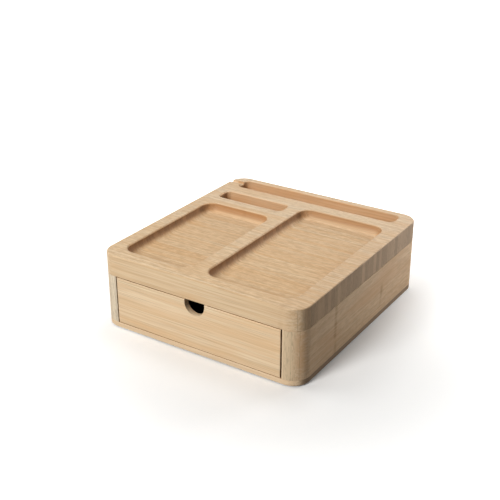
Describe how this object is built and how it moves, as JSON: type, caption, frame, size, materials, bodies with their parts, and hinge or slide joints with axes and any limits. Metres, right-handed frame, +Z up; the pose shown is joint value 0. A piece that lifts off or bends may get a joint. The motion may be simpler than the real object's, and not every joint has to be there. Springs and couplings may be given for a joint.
{
  "type": "valet box with drawer",
  "caption": "Low bamboo valet box with a thick top milled into pockets and slots for phone, keys, pen and cards, over a shallow drawer with a finger notch.",
  "frame": {"origin": "centre of the box's footprint, on the table under its pads", "axes": "+Z up; the drawer front faces -Y; +X runs to the right along the front as seen from the front"},
  "size_m": [0.23, 0.25, 0.0803],
  "materials": {
    "tray_bamboo": "clear satin lacquer, grain along the front",
    "side_bamboo": "clear satin lacquer, grain from front to back",
    "rear_bamboo": "clear satin lacquer, grain along the back",
    "base_bamboo": "clear satin lacquer",
    "drawer_front_bamboo": "clear satin lacquer, grain along the front",
    "drawer_box_bamboo": "clear satin lacquer",
    "drawer_ply": "sanded",
    "dowel_beech": "bare",
    "liner_felt": "pressed felt",
    "pad_rubber": "matt"
  },
  "bodies": {
    "case": {"top_tray": "tray_bamboo", "left_side": "side_bamboo", "right_side": "side_bamboo", "rear_panel": "rear_bamboo", "base_panel": "base_bamboo", "tray_dowels": "dowel_beech", "rear_dowels": "dowel_beech", "pad_front_left": "pad_rubber", "pad_front_right": "pad_rubber", "pad_rear_left": "pad_rubber", "pad_rear_right": "pad_rubber"},
    "drawer": {"drawer_front": "drawer_front_bamboo", "drawer_left_side": "drawer_box_bamboo", "drawer_right_side": "drawer_box_bamboo", "drawer_back": "drawer_box_bamboo", "drawer_bottom": "drawer_ply", "drawer_liner": "liner_felt"}
  },
  "joints": [
    {"name": "drawer_slide", "type": "slide", "parent": "case", "child": "drawer", "axis": [0, -1, 0], "range_m": [0, 0.18]}
  ]
}
